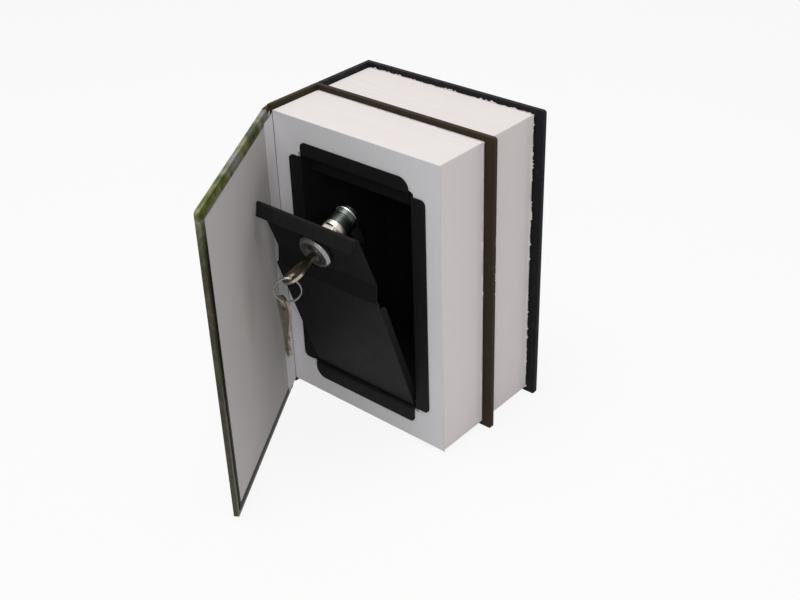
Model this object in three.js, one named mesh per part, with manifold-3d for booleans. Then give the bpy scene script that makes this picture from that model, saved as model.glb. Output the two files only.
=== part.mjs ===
// Book diversion safe: two case-bound books glued back to back, with a locking steel box let into
// their pages. Millimetres, +Z up, the front towards -Y. The origin is the bottom centre of the
// board between the two books. The front cover stands open, the door leans out on its hinge and a
// key is in the lock, with a spare on its ring.
import * as THREE from 'three';
import Module from 'manifold-3d';
import { mergeVertices } from 'three/addons/utils/BufferGeometryUtils.js';

// Books
const pageWidth = 152.8;
const pageHeight = 232;
const frontBlockDepth = 46.3;
const rearBlockDepth = 52.2;
const headSquare = 4;
const foreEdgeOverhang = 8.3;
const boardCornerRadius = 2.2;
const boardThickness = 2.2;
const clothThickness = 0.4;
const paperThickness = 0.2;
const turnInWidth = 15;
const gluedGap = 0.2;

// Front cover's joint
const coverExtra = 1.6;
const jointWidth = 7;
const coverOpenAngle = THREE.MathUtils.degToRad(58.9);
const hingeSideOffset = 2.6;
const hingeFrontOffset = 2.3;
const foldClearance = 0.35;

// Steel box, with the page margins left on each side of its opening
const sheet = 1;
const marginLeft = 25.3;
const marginRight = 25.5;
const marginBelow = 27.8;
const marginAbove = 28.2;
const pagesBehindBox = 9.1;
const boxClearance = 1.5;
const narrowFlange = 11;
const wideFlange = 13;
const flangeCornerRadius = 4;
const flangeLargeRadius = 9;
const cornerRelief = 1;
const bendRadius = 1.2;
const backRim = 5;
const fitGap = 0.3;

// Channel under the box's top: its front leg stops the door, its rear leg holds the cam
const legHeight = 13;
const stopBehindPivot = 5;
const strikeGap = 1;

// Door
const doorSideGap = 2.1;
const doorHeadGap = 6.7;
const doorLean = THREE.MathUtils.degToRad(18.4);
const pivotHeight = 4.5;
const pivotBehindFace = 3.2;
const doorRise = 1.9;
const returnDepth = 5.6;
const returnShortfall = 5.5;
const returnRadius = 2.4;
const plateHeight = 46.8;
const joggleRun = 13;
const joggleDepth = 5.6;
const plateInset = 2;
const plateTilt = THREE.MathUtils.degToRad(3);
const shoulderDrop = 6;
const shoulderRadius = 3;
const lipReach = 7.8;
const lipDrop = 7.4;
const lipRootInset = 4;
const lipTipInset = 7;
const lipRadius = 3;

// Hinge pins
const pinRadius = 1.2;
const pinClearance = 0.2;
const pinHeadRadius = 2.2;
const pinHeadThickness = 0.8;
const pinShoulderRadius = 1.9;
const pinTail = 1.1;

// Lock
const lockBelowEdge = 31;
const lockAside = 1;
const bezelRadius = 13.5;
const bezelThickness = 5;
const bezelChamfer = 1.2;
const bezelDish = 0.6;
const barrelRadius = 9.2;
const barrelLength = 34.5;
const flatLength = 17.5;
const flatsAcross = 15.6;
const grooveStart = 28;
const grooveWidth = 1;
const grooveDepth = 1;
const plugRadius = 5.9;
const plugProud = 0.4;
const keywayWidth = 2.7;
const keywayHeight = 9.2;
const keywayDepth = 24;
const tailAcross = 7;
const washerRadius = 12.2;
const washerThickness = 0.8;
const nutAcross = 23;
const nutThickness = 4.5;
const nutSides = 6;
const nutChamfer = 0.6;
const runningGap = 0.3;

// Cam and its screw
const camThickness = 2;
const camLength = 29;
const camHubRadius = 8;
const camTipRadius = 6;
const screwRadius = 1.9;
const screwLength = 8;
const screwHeadRadius = 4.4;
const screwHeadHeight = 2.8;
const screwHeadChamfer = 1;
const screwSlotWidth = 1.2;
const screwSlotDepth = 1.2;

// Keys
const keyThickness = 2;
const bladeLength = 22.3;
const bladeWidth = 8.4;
const bladeTip = 3;
const cutDepth = 2.2;
const cutPitch = 4;
const cutCount = 4;
const cutRootShare = 0.125;
const shoulderHalfWidth = 5.6;
const bowLength = 26.5;
const bowHalfWidth = 10.5;
const bowWidest = 17.5;
const bowCrown = 3;
const bowHoleRadius = 4.2;
const bowHoleEdge = 1.7;
const keyStandOff = 2.6;
const keyTurn = THREE.MathUtils.degToRad(26.5);

// Split ring
const ringRadius = 9.5;
const ringWire = 1.05;
const ringPitch = 1.35;
const ringTurns = 2;
const wireSides = 8;
const stepsPerTurn = 32;
const ringHeading = THREE.MathUtils.degToRad(40.5);
const ringHang = THREE.MathUtils.degToRad(18);
const ringSlipAlong = 0.5;
const ringSlipAcross = 0.2;
const spareHeading = THREE.MathUtils.degToRad(-21);
const spareSlide = THREE.MathUtils.degToRad(20);
const spareDrop = 2.4;

// One length lets every cut run past the faces it opens, and one sinks a joined form into the next
const overrun = 5;
const joinDepth = 1;
const weldDistance = 0.00001;
const roundSteps = 48;
const smallSteps = 24;
const bendSteps = 5;

// Places that follow from the sizes above
const innerLayers = 3 * gluedGap + paperThickness + clothThickness;
const outerLayers = gluedGap + clothThickness;
const coverStack = innerLayers + boardThickness + outerLayers;
const pageLeft = coverStack - (coverStack + pageWidth + foreEdgeOverhang) / 2;
const pageRight = pageLeft + pageWidth;
const coverRight = pageRight + foreEdgeOverhang;
const spineLeft = pageLeft - coverStack;
const coverHeight = pageHeight + 2 * headSquare;
const pageBottom = headSquare;
const pageTop = pageBottom + pageHeight;
const frontPagesBack = -boardThickness / 2 - innerLayers;
const frontPagesFront = frontPagesBack - frontBlockDepth;
const rearPagesFront = boardThickness / 2 + outerLayers + 2 * gluedGap + paperThickness;
const rearPagesBack = rearPagesFront + rearBlockDepth;
const rearBoardFront = rearPagesBack + innerLayers;
const rearBoardBack = rearBoardFront + boardThickness;
const hingeX = pageLeft - hingeSideOffset;
const hingeY = frontPagesFront - hingeFrontOffset;
const coverReach = coverRight - hingeX + coverExtra;

const flangeBack = frontPagesFront - 2 * gluedGap - paperThickness;
const flangeFront = flangeBack - sheet;
const openingWidth = pageWidth - marginLeft - marginRight;
const openingHeight = pageHeight - marginBelow - marginAbove;
const boxLeft = pageLeft + marginLeft;
const boxRight = boxLeft + openingWidth;
const boxBottom = pageBottom + marginBelow;
const boxTop = boxBottom + openingHeight;
const wallEnd = rearPagesBack - pagesBehindBox;
const boxBack = wallEnd - backRim - sheet;

const pivotX = (boxLeft + boxRight) / 2;
const pivotY = flangeFront + sheet + pivotBehindFace;
const pivotZ = boxBottom + pivotHeight;
const doorWidth = openingWidth - 2 * doorSideGap;
const doorHeight = openingHeight - doorHeadGap;
const joggleBottom = doorHeight - plateHeight - joggleRun;
const returnHeight = joggleBottom - returnShortfall;
const panelFace = -pivotBehindFace;
const panelBottom = doorRise - pivotHeight;
const plateFoot = panelFace + joggleDepth;
const plateFootHeight = panelBottom + joggleBottom + joggleRun;
const plateTop = panelBottom + doorHeight;
const halfDoor = doorWidth / 2;
const lockUp = plateTop - lockBelowEdge;
const plateAt = (height) => plateFoot - (height - plateFootHeight) * Math.tan(plateTilt);
const plateFace = plateAt(lockUp);
const bowHoleHeight = bowLength - bowHoleEdge - bowHoleRadius;

const wasm = await Module();
wasm.setup();

// Turns a closed geometry into a solid that can be cut
function solid(geometry) {
  const bare = geometry.index ? geometry.toNonIndexed() : geometry.clone();
  bare.deleteAttribute('normal');
  bare.deleteAttribute('uv');
  const merged = mergeVertices(bare, weldDistance);
  return new wasm.Manifold(new wasm.Mesh({
    numProp: 3,
    vertProperties: Float32Array.from(merged.attributes.position.array),
    triVerts: Uint32Array.from(merged.index.array),
  }));
}

function geometryOf(body) {
  const mesh = body.getMesh();
  const geometry = new THREE.BufferGeometry();
  geometry.setAttribute('position', new THREE.BufferAttribute(mesh.vertProperties, 3));
  geometry.setIndex(new THREE.BufferAttribute(mesh.triVerts, 1));
  return geometry;
}

// A box between two corners
function block(low, high) {
  const size = high.map((value, axis) => value - low[axis]);
  const geometry = new THREE.BoxGeometry(...size);
  geometry.translate(...low.map((value, axis) => value + size[axis] / 2));
  return solid(geometry);
}

function extruded(shape, length, steps) {
  return new THREE.ExtrudeGeometry(shape, { depth: length, bevelEnabled: false, curveSegments: steps });
}

// An outline drawn in X and Z, carried back along Y
function alongY(shape, from, to, steps = smallSteps) {
  const geometry = extruded(shape, to - from, steps);
  geometry.rotateX(Math.PI / 2);
  geometry.translate(0, to, 0);
  return solid(geometry);
}

// An outline drawn in Y and Z, carried along X
function alongX(shape, from, to, steps = smallSteps) {
  const geometry = extruded(shape, to - from, steps);
  geometry.rotateY(Math.PI / 2);
  geometry.rotateX(Math.PI / 2);
  geometry.translate(from, 0, 0);
  return solid(geometry);
}

// An outline drawn in X and Y, carried up along Z
function alongZ(shape, from, to, steps = smallSteps) {
  const geometry = extruded(shape, to - from, steps);
  geometry.translate(0, 0, from);
  return solid(geometry);
}

// A profile of radius and place along Y, turned about the Y axis
function turned(profile, steps = roundSteps) {
  const points = profile.map(([radius, along]) => new THREE.Vector2(radius, along));
  points.push(points[0].clone());
  return solid(new THREE.LatheGeometry(points, steps));
}

function rod(radius, from, to, steps = smallSteps) {
  const geometry = new THREE.CylinderGeometry(radius, radius, to - from, steps);
  geometry.translate(0, (from + to) / 2, 0);
  return solid(geometry);
}

// A rectangle with its own radius at each corner, from the lower left round to the upper left
function roundedRectangle(left, bottom, right, top, radii) {
  const [lowerLeft, lowerRight, upperRight, upperLeft] = radii;
  const shape = new THREE.Shape();
  shape.moveTo(left + lowerLeft, bottom);
  shape.lineTo(right - lowerRight, bottom);
  if (lowerRight) shape.absarc(right - lowerRight, bottom + lowerRight, lowerRight, -Math.PI / 2, 0);
  shape.lineTo(right, top - upperRight);
  if (upperRight) shape.absarc(right - upperRight, top - upperRight, upperRight, 0, Math.PI / 2);
  shape.lineTo(left + upperLeft, top);
  if (upperLeft) shape.absarc(left + upperLeft, top - upperLeft, upperLeft, Math.PI / 2, Math.PI);
  shape.lineTo(left, bottom + lowerLeft);
  if (lowerLeft) shape.absarc(left + lowerLeft, bottom + lowerLeft, lowerLeft, Math.PI, (3 * Math.PI) / 2);
  return shape;
}

// The section of a sheet bent along a line, the sheet lying to the left of its run
function bentSheet(line, thickness, radius) {
  const face = line.map(([x, y]) => new THREE.Vector2(x, y));
  const leftOf = (run) => new THREE.Vector2(-run.y, run.x);
  const runBetween = (from, to) => to.clone().sub(from).normalize();
  const sides = face.slice(1).map((point, index) => leftOf(runBetween(face[index], point)));
  const far = face.map((point, index) => {
    const before = sides[Math.max(index - 1, 0)];
    const after = sides[Math.min(index, sides.length - 1)];
    const middle = before.clone().add(after).normalize();
    return point.clone().addScaledVector(middle, thickness / middle.dot(after));
  });
  const shape = new THREE.Shape();
  const follow = (points) => {
    points.slice(1, -1).forEach((corner, index) => {
      const before = runBetween(points[index], corner);
      const after = runBetween(corner, points[index + 2]);
      const left = before.cross(after) > 0;
      const bend = left ? radius + thickness : radius;
      const inward = leftOf(before).add(leftOf(after)).normalize().multiplyScalar(left ? 1 : -1);
      const centre = corner.clone().addScaledVector(inward, bend / Math.abs(inward.dot(leftOf(after))));
      const turn = left ? -Math.PI / 2 : Math.PI / 2;
      shape.absarc(centre.x, centre.y, bend, before.angle() + turn, after.angle() + turn, !left);
    });
    shape.lineTo(points.at(-1).x, points.at(-1).y);
  };
  shape.moveTo(face[0].x, face[0].y);
  follow(face);
  const back = far.toReversed();
  shape.lineTo(back[0].x, back[0].y);
  follow(back);
  return shape;
}

function polygon(points) {
  return new THREE.Shape(points.map(([x, y]) => new THREE.Vector2(x, y)));
}

// Finishes: colour, roughness, metalness
const finishes = {
  pages: [0xece8e4, 0.9, 0],
  endpaper: [0xd9d7d8, 0.85, 0],
  greyboard: [0x8f8a80, 0.95, 0],
  oliveCloth: [0x463a2b, 0.7, 0],
  blackCloth: [0x1d1d24, 0.6, 0],
  coverPrint: [0x5a6436, 0.55, 0],
  blackSteel: [0x17181b, 0.5, 0.4],
  nickel: [0xb9b6b0, 0.25, 1],
  steel: [0x9a9a98, 0.35, 1],
  brass: [0xa58f62, 0.35, 1],
};

function piece(name, finish, body) {
  const [color, roughness, metalness] = finishes[finish];
  const material = new THREE.MeshStandardMaterial({ color, roughness, metalness });
  const mesh = new THREE.Mesh(geometryOf(body), material);
  mesh.name = name;
  return mesh;
}

// The hole for the box through paper and board, wide enough for its walls
function boxCut(from, to) {
  const reach = sheet + boxClearance;
  return block([boxLeft - reach, from, boxBottom - reach], [boxRight + reach, to, boxTop + reach]);
}

// Paper
function pageBlock(front, back) {
  return block([pageLeft, front, pageBottom], [pageRight, back, pageTop]);
}

function frontPages() {
  return pageBlock(frontPagesFront, frontPagesBack)
    .subtract(boxCut(frontPagesFront - overrun, frontPagesBack + overrun));
}

function rearPages() {
  return pageBlock(rearPagesFront, rearPagesBack)
    .subtract(boxCut(rearPagesFront - overrun, wallEnd + boxClearance));
}

function leaf(front) {
  return block([pageLeft, front, pageBottom], [pageRight, front + paperThickness, pageTop]);
}

function frontFlyleaf() {
  const front = frontPagesFront - gluedGap - paperThickness;
  return leaf(front).subtract(boxCut(front - overrun, front + overrun));
}

function middlePastedown() {
  const front = frontPagesBack + gluedGap;
  return leaf(front).subtract(boxCut(front - overrun, front + overrun));
}

function dividerEndpaper() {
  const front = rearPagesFront - gluedGap - paperThickness;
  return leaf(front).subtract(boxCut(front - overrun, front + overrun));
}

function rearPastedown() {
  return leaf(rearPagesBack + gluedGap);
}

// Boards
function spineBoard(front, back) {
  const outer = spineLeft + outerLayers;
  const rise = outerLayers;
  return block([outer, front, rise], [outer + boardThickness, back, coverHeight - rise]);
}

// What has a side board's outline, set in from the outside of its cloth, with rounded outer corners
function boardForm(left, right, setIn, from, to) {
  const radius = boardCornerRadius - setIn;
  const outline = roundedRectangle(left, setIn, right - setIn, coverHeight - setIn, [0, radius, radius, 0]);
  return alongY(outline, from, to, bendSteps);
}

function sideBoard(front) {
  return boardForm(pageLeft - innerLayers + gluedGap, coverRight, outerLayers, front, front + boardThickness);
}

const middleBoardFront = -boardThickness / 2;

function middleBoard() {
  return sideBoard(middleBoardFront).subtract(boxCut(middleBoardFront - overrun, overrun));
}

// A case's cloth: outside the spine and the side board, round their edges and turned in behind them
function caseCloth(front, boardFront) {
  const boardBack = boardFront + boardThickness;
  const clothBack = boardBack + outerLayers;
  const turnInFront = boardFront - outerLayers;
  const spineInner = pageLeft - innerLayers + outerLayers;
  const low = clothThickness;
  const high = coverHeight - clothThickness;
  const skin = block([spineLeft, front, 0], [spineInner, clothBack, coverHeight])
    .add(boardForm(spineLeft, coverRight, 0, turnInFront, clothBack));
  const spineRoom = block(
    [spineLeft + clothThickness, front - overrun, low],
    [spineInner - clothThickness, boardBack + gluedGap, high],
  );
  const boardRoom = boardForm(
    spineLeft + clothThickness,
    coverRight,
    clothThickness,
    boardFront - gluedGap,
    boardBack + gluedGap,
  );
  const spineWindow = block(
    [spineInner - clothThickness - gluedGap, front - overrun, turnInWidth],
    [spineInner + overrun, boardFront, coverHeight - turnInWidth],
  );
  const boardWindow = block(
    [spineInner - gluedGap, turnInFront - overrun, turnInWidth],
    [coverRight - turnInWidth, boardFront, coverHeight - turnInWidth],
  );
  return skin.subtract(spineRoom).subtract(boardRoom).subtract(spineWindow).subtract(boardWindow);
}

// The front case's cloth ends in a strip that points at the cover's hinge
function frontCaseCloth() {
  const front = frontPagesFront;
  const strip = polygon([
    [spineLeft, front + gluedGap],
    [spineLeft, front],
    [hingeX - foldClearance - clothThickness, hingeY + foldClearance],
    [hingeX - foldClearance, hingeY + foldClearance],
    [spineLeft + clothThickness, front],
    [spineLeft + clothThickness, front + gluedGap],
  ].toReversed());
  return caseCloth(front, middleBoardFront)
    .add(alongZ(strip, 0, coverHeight))
    .subtract(boxCut(middleBoardFront - overrun, overrun));
}

function rearCaseCloth() {
  return caseCloth(rearPagesFront, rearBoardFront);
}

// Front cover, lying along +X from its hinge with its outside towards -Y
const coverFace = boardThickness / 2 + outerLayers;

function coverBoard() {
  const half = boardThickness / 2;
  return boardForm(jointWidth, coverReach, outerLayers, -half, half);
}

function coverCloth() {
  const room = coverFace - clothThickness;
  const window = block(
    [0, room - gluedGap, turnInWidth],
    [coverReach - turnInWidth, coverFace + overrun, coverHeight - turnInWidth],
  );
  const wrapped = boardForm(jointWidth - gluedGap, coverReach, 0, -coverFace, coverFace)
    .subtract(boardForm(0, coverReach, clothThickness, -room, room))
    .subtract(window);
  const joint = polygon([
    [jointWidth, -coverFace],
    [jointWidth, -room],
    [foldClearance, clothThickness],
    [foldClearance, 0],
  ].toReversed());
  return wrapped.add(alongZ(joint, 0, coverHeight));
}

function coverPastedown() {
  const inner = coverFace + gluedGap;
  const outer = inner + paperThickness;
  const section = bentSheet([
    [2 * foldClearance, outer - foldClearance],
    [jointWidth, outer],
    [coverReach - foreEdgeOverhang / 2, outer],
  ].toReversed(), paperThickness, bendRadius);
  return alongZ(section, pageBottom, pageTop, bendSteps);
}

// Steel box: a flange on each side, bent out from its wall
function sideFlange(side, width, radii) {
  const length = side - 2 * cornerRelief;
  const section = bentSheet([
    [0, 2 * bendRadius + sheet],
    [0, 0],
    [width, 0],
  ], sheet, bendRadius);
  const strip = alongZ(section, -length / 2, length / 2, bendSteps);
  const outline = roundedRectangle(-width, -length / 2, width, length / 2, radii);
  const keep = alongY(outline, -overrun, overrun);
  return strip.intersect(keep);
}

function boxShell() {
  const midX = (boxLeft + boxRight) / 2;
  const midZ = (boxBottom + boxTop) / 2;
  const wallStart = flangeFront + bendRadius + sheet;
  const walls = block(
    [boxLeft - sheet, wallStart, boxBottom - sheet],
    [boxRight + sheet, wallEnd, boxTop + sheet],
  ).subtract(block([boxLeft, wallStart - overrun, boxBottom], [boxRight, wallEnd + overrun, boxTop]));
  const small = flangeCornerRadius;
  const large = flangeLargeRadius;
  const right = sideFlange(openingHeight, wideFlange, [0, small, small, 0])
    .translate([boxRight, flangeFront, midZ]);
  const left = sideFlange(openingHeight, narrowFlange, [0, small, small, 0])
    .rotate([0, 180, 0]).translate([boxLeft, flangeFront, midZ]);
  const top = sideFlange(openingWidth, narrowFlange, [0, large, small, 0])
    .rotate([0, -90, 0]).translate([midX, flangeFront, boxTop]);
  const bottom = sideFlange(openingWidth, wideFlange, [0, large, small, 0])
    .rotate([0, 90, 0]).translate([midX, flangeFront, boxBottom]);
  const pinHoles = rod(pinRadius + pinClearance, boxLeft - overrun, boxRight + overrun)
    .rotate([0, 0, -90]).translate([0, pivotY, pivotZ]);
  return walls.add(right).add(left).add(top).add(bottom).subtract(pinHoles);
}

// The box's back is a shallow tray whose rim is folded away from the opening
function boxBackTray() {
  const inset = fitGap;
  const rear = boxBack + sheet + backRim;
  return block([boxLeft + inset, boxBack, boxBottom + inset], [boxRight - inset, rear, boxTop - inset])
    .subtract(block(
      [boxLeft + inset + sheet, boxBack + sheet, boxBottom + inset + sheet],
      [boxRight - inset - sheet, rear + overrun, boxTop - inset - sheet],
    ));
}

function latchChannel() {
  const front = pivotY + stopBehindPivot;
  const camReach = (barrelLength + runningGap) * Math.cos(plateTilt) - camLength * Math.sin(plateTilt);
  const back = pivotY + plateFace + camReach - strikeGap;
  const top = boxTop - fitGap;
  const section = bentSheet([
    [front, top - legHeight],
    [front, top],
    [back, top],
    [back, top - legHeight],
  ].toReversed(), sheet, bendRadius);
  return alongX(section, boxLeft + fitGap, boxRight - fitGap, bendSteps);
}

// A stepped rivet through the box's wall and the door's folded side, its head outside the box
function hingePin(side) {
  const wallOut = -openingWidth / 2 - sheet;
  const doorEdge = -halfDoor;
  const tail = doorEdge + sheet + fitGap;
  const profile = [
    [0, wallOut - fitGap - pinHeadThickness],
    [pinHeadRadius, wallOut - fitGap - pinHeadThickness],
    [pinHeadRadius, wallOut - fitGap],
    [pinRadius, wallOut - fitGap],
    [pinRadius, -openingWidth / 2 + fitGap],
    [pinShoulderRadius, -openingWidth / 2 + fitGap],
    [pinShoulderRadius, doorEdge - fitGap],
    [pinRadius, doorEdge - fitGap],
    [pinRadius, tail],
    [pinShoulderRadius, tail],
    [pinShoulderRadius, tail + pinTail / 2],
    [pinRadius, tail + pinTail],
    [0, tail + pinTail],
  ];
  return turned(profile, smallSteps).rotate([0, 0, 90 * side]).translate([pivotX, pivotY, pivotZ]);
}

// Door, upright in its own frame: X across, Y back through the sheet, Z up from the pivot
function doorOutline() {
  const side = halfDoor - plateInset;
  const panelTop = panelBottom + joggleBottom;
  const shoulder = plateTop - shoulderDrop;
  const shape = new THREE.Shape();
  shape.moveTo(-halfDoor, panelBottom);
  shape.lineTo(halfDoor, panelBottom);
  shape.lineTo(halfDoor, panelTop);
  shape.lineTo(side, panelTop + plateInset);
  shape.lineTo(side, shoulder - shoulderRadius);
  shape.absarc(side - shoulderRadius, shoulder - shoulderRadius, shoulderRadius, 0, Math.PI / 2);
  shape.lineTo(shoulderRadius - side, shoulder);
  shape.absarc(shoulderRadius - side, shoulder - shoulderRadius, shoulderRadius, Math.PI / 2, Math.PI);
  shape.lineTo(-side, panelTop + plateInset);
  shape.lineTo(-halfDoor, panelTop);
  return shape;
}

// The finger lip along the plate's top, bent forwards and down
function fingerLip() {
  const left = lipRootInset - halfDoor;
  const tipLeft = lipTipInset - halfDoor;
  const right = halfDoor - plateInset;
  const root = plateAt(plateTop);
  const foot = plateTop - 2 * shoulderDrop;
  const section = bentSheet([
    [plateAt(foot), foot],
    [root, plateTop],
    [root - lipReach, plateTop - lipDrop],
  ].toReversed(), sheet, bendRadius);
  const low = plateTop - lipDrop - sheet;
  const outline = new THREE.Shape();
  outline.moveTo(tipLeft + lipRadius, low);
  outline.lineTo(right - lipRadius, low);
  outline.absarc(right - lipRadius, low + lipRadius, lipRadius, -Math.PI / 2, 0);
  outline.lineTo(right, plateTop);
  outline.lineTo(left, plateTop);
  outline.lineTo(tipLeft, low + lipRadius);
  outline.quadraticCurveTo(tipLeft, low, tipLeft + lipRadius, low);
  const front = alongY(outline, root - lipReach - overrun, root);
  const rear = block([left, root - bendRadius, low - overrun], [right, root + overrun, plateTop]);
  return alongX(section, left, right, bendSteps).intersect(front.add(rear));
}

function doorReturn() {
  const face = panelFace;
  const depth = face + returnDepth;
  const shape = new THREE.Shape();
  shape.moveTo(face, panelBottom);
  shape.lineTo(depth - returnRadius, panelBottom);
  shape.absarc(depth - returnRadius, panelBottom + returnRadius, returnRadius, -Math.PI / 2, 0);
  shape.lineTo(depth, panelBottom + returnHeight - returnRadius);
  shape.absarc(depth - returnRadius, panelBottom + returnHeight - returnRadius, returnRadius, 0, Math.PI / 2);
  shape.lineTo(face, panelBottom + returnHeight);
  return shape;
}

function doorPanel() {
  const section = bentSheet([
    [panelFace, panelBottom],
    [panelFace, panelBottom + joggleBottom],
    [plateFoot, plateFootHeight],
    [plateAt(plateTop), plateTop],
  ].toReversed(), sheet, bendRadius);
  const folded = alongX(section, -halfDoor, halfDoor, bendSteps);
  const outline = alongY(doorOutline(), panelFace - overrun, plateFoot + overrun);
  const returns = alongX(doorReturn(), -halfDoor, -halfDoor + sheet)
    .add(alongX(doorReturn(), halfDoor - sheet, halfDoor));
  const pinHoles = rod(pinRadius + pinClearance, -halfDoor - overrun, halfDoor + overrun).rotate([0, 0, -90]);
  const lockHole = barrelSection(runningGap, -overrun, sheet + overrun)
    .rotate([THREE.MathUtils.radToDeg(plateTilt), 0, 0])
    .translate([-lockAside, plateFace, lockUp]);
  return folded.intersect(outline).add(fingerLip()).add(returns).subtract(pinHoles).subtract(lockHole);
}

// Lock, about the Y axis with the door plate's face at zero
function barrelSection(grow, from, to) {
  const half = flatsAcross / 2 + grow;
  const reach = barrelRadius + overrun;
  return rod(barrelRadius + grow, from, to, roundSteps)
    .intersect(block([-reach, from - overrun, -half], [reach, to + overrun, half]));
}

function lockBarrel() {
  const front = -gluedGap - bezelThickness;
  const bore = plugRadius + runningGap;
  const bezel = turned([
    [bore, front + bezelDish],
    [bezelRadius - 2 * bezelChamfer, front],
    [bezelRadius - bezelChamfer, front],
    [bezelRadius, front + bezelChamfer],
    [bezelRadius, -gluedGap],
    [bore, -gluedGap],
  ]);
  const flats = barrelSection(0, -gluedGap - joinDepth, flatLength);
  const rear = turned([
    [bore, flatLength - joinDepth],
    [barrelRadius - joinDepth, flatLength - joinDepth],
    [barrelRadius, flatLength],
    [barrelRadius, grooveStart],
    [barrelRadius - grooveDepth, grooveStart],
    [barrelRadius - grooveDepth, grooveStart + grooveWidth],
    [barrelRadius, grooveStart + grooveWidth],
    [barrelRadius, barrelLength - grooveDepth],
    [barrelRadius - grooveDepth, barrelLength],
    [bore, barrelLength],
  ]);
  return bezel.add(flats).add(rear).subtract(rod(bore, front - overrun, barrelLength + overrun, roundSteps));
}

function lockWasher() {
  const near = sheet + gluedGap;
  const hole = barrelRadius + runningGap;
  return turned([
    [hole, near],
    [washerRadius, near],
    [washerRadius, near + washerThickness],
    [hole, near + washerThickness],
  ]);
}

function lockNut() {
  const near = sheet + gluedGap + washerThickness + gluedGap;
  const corner = nutAcross / Math.sqrt(3);
  const hex = rod(corner, near, near + nutThickness, nutSides);
  const chamfered = turned([
    [0, near],
    [nutAcross / 2, near],
    [corner, near + nutChamfer],
    [corner, near + nutThickness - nutChamfer],
    [nutAcross / 2, near + nutThickness],
    [0, near + nutThickness],
  ]);
  const hole = rod(barrelRadius + runningGap, near - overrun, near + nutThickness + overrun, roundSteps);
  return hex.intersect(chamfered).subtract(hole);
}

// Plug, at the angle that holds the key's blade level
const tailEnd = barrelLength + 2 * runningGap + camThickness;

function lockPlug() {
  const front = -gluedGap - bezelThickness - plugProud;
  const half = tailAcross / 2;
  const keyway = block(
    [-keywayHeight / 2, front - overrun, -keywayWidth / 2],
    [keywayHeight / 2, front + keywayDepth, keywayWidth / 2],
  );
  const screwHole = rod(screwRadius + runningGap, tailEnd - screwLength, tailEnd + overrun);
  return rod(plugRadius, front, barrelLength, roundSteps)
    .add(block([-half, barrelLength - joinDepth, -half], [half, tailEnd, half]))
    .subtract(keyway)
    .subtract(screwHole);
}

function lockCam() {
  const from = barrelLength + runningGap;
  const to = from + camThickness;
  const side = Math.asin((camHubRadius - camTipRadius) / (camLength - camTipRadius));
  const shape = new THREE.Shape();
  shape.absarc(0, 0, camHubRadius, -side, Math.PI + side);
  shape.absarc(0, camTipRadius - camLength, camTipRadius, Math.PI + side, 2 * Math.PI - side);
  const half = tailAcross / 2 + runningGap;
  const squareHole = block([-half, from - overrun, -half], [half, to + overrun, half])
    .rotate([0, -THREE.MathUtils.radToDeg(keyTurn), 0]);
  return alongY(shape, from, to).subtract(squareHole);
}

function camScrew() {
  const under = tailEnd + gluedGap;
  const head = turned([
    [0, under - screwLength],
    [screwRadius, under - screwLength],
    [screwRadius, under],
    [screwHeadRadius, under],
    [screwHeadRadius, under + screwHeadHeight / 2],
    [screwHeadRadius - screwHeadChamfer, under + screwHeadHeight],
    [0, under + screwHeadHeight],
  ], smallSteps);
  const slot = block(
    [-screwHeadRadius - overrun, under + screwHeadHeight - screwSlotDepth, -screwSlotWidth / 2],
    [screwHeadRadius + overrun, under + screwHeadHeight + overrun, screwSlotWidth / 2],
  );
  return head.subtract(slot);
}

// A key drawn across in X and along in Z, its shoulder at zero, its bow up and its blade down
function keyOutline() {
  const half = bladeWidth / 2;
  const root = cutPitch * cutRootShare;
  const shape = new THREE.Shape();
  shape.moveTo(-half, 0);
  shape.lineTo(-half, bladeTip - bladeLength);
  shape.lineTo(0, -bladeLength);
  shape.lineTo(half, bladeTip - bladeLength);
  for (let cut = cutCount - 1; cut >= 0; cut -= 1) {
    const middle = -cutPitch * (cut + 1);
    shape.lineTo(half, middle - cutPitch / 2);
    shape.lineTo(half - cutDepth, middle - root);
    shape.lineTo(half - cutDepth, middle + root);
  }
  shape.lineTo(half, 0);
  shape.lineTo(shoulderHalfWidth, 0);
  shape.lineTo(bowHalfWidth, bowWidest);
  const crown = bowLength - bowCrown;
  shape.bezierCurveTo(bowHalfWidth, crown, bowHalfWidth / 2, bowLength, 0, bowLength);
  shape.bezierCurveTo(-bowHalfWidth / 2, bowLength, -bowHalfWidth, crown, -bowHalfWidth, bowWidest);
  shape.lineTo(-shoulderHalfWidth, 0);
  const hole = new THREE.Path();
  hole.absarc(0, bowHoleHeight, bowHoleRadius, 0, 2 * Math.PI, true);
  shape.holes.push(hole);
  return shape;
}

function keyBody() {
  return alongY(keyOutline(), -keyThickness / 2, keyThickness / 2, smallSteps);
}

// The split ring: one wire wound twice round, its turns lying side by side
class RingPath extends THREE.Curve {
  getPoint(share, target = new THREE.Vector3()) {
    const angle = share * ringTurns * 2 * Math.PI;
    const along = (share - 1 / 2) * ringTurns * ringPitch;
    return target.set(ringRadius * Math.cos(angle), along, ringRadius * Math.sin(angle));
  }
}

function splitRing() {
  const section = new THREE.Shape();
  for (let side = 0; side < wireSides; side += 1) {
    const angle = (2 * Math.PI * side) / wireSides;
    const x = (ringWire / 2) * Math.cos(angle);
    const y = (ringWire / 2) * Math.sin(angle);
    if (side) section.lineTo(x, y);
    else section.moveTo(x, y);
  }
  const steps = ringTurns * stepsPerTurn;
  const extrudePath = new RingPath();
  return solid(new THREE.ExtrudeGeometry(section, { steps, extrudePath, bevelEnabled: false }));
}

// Assembly
const safe = new THREE.Group();

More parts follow.
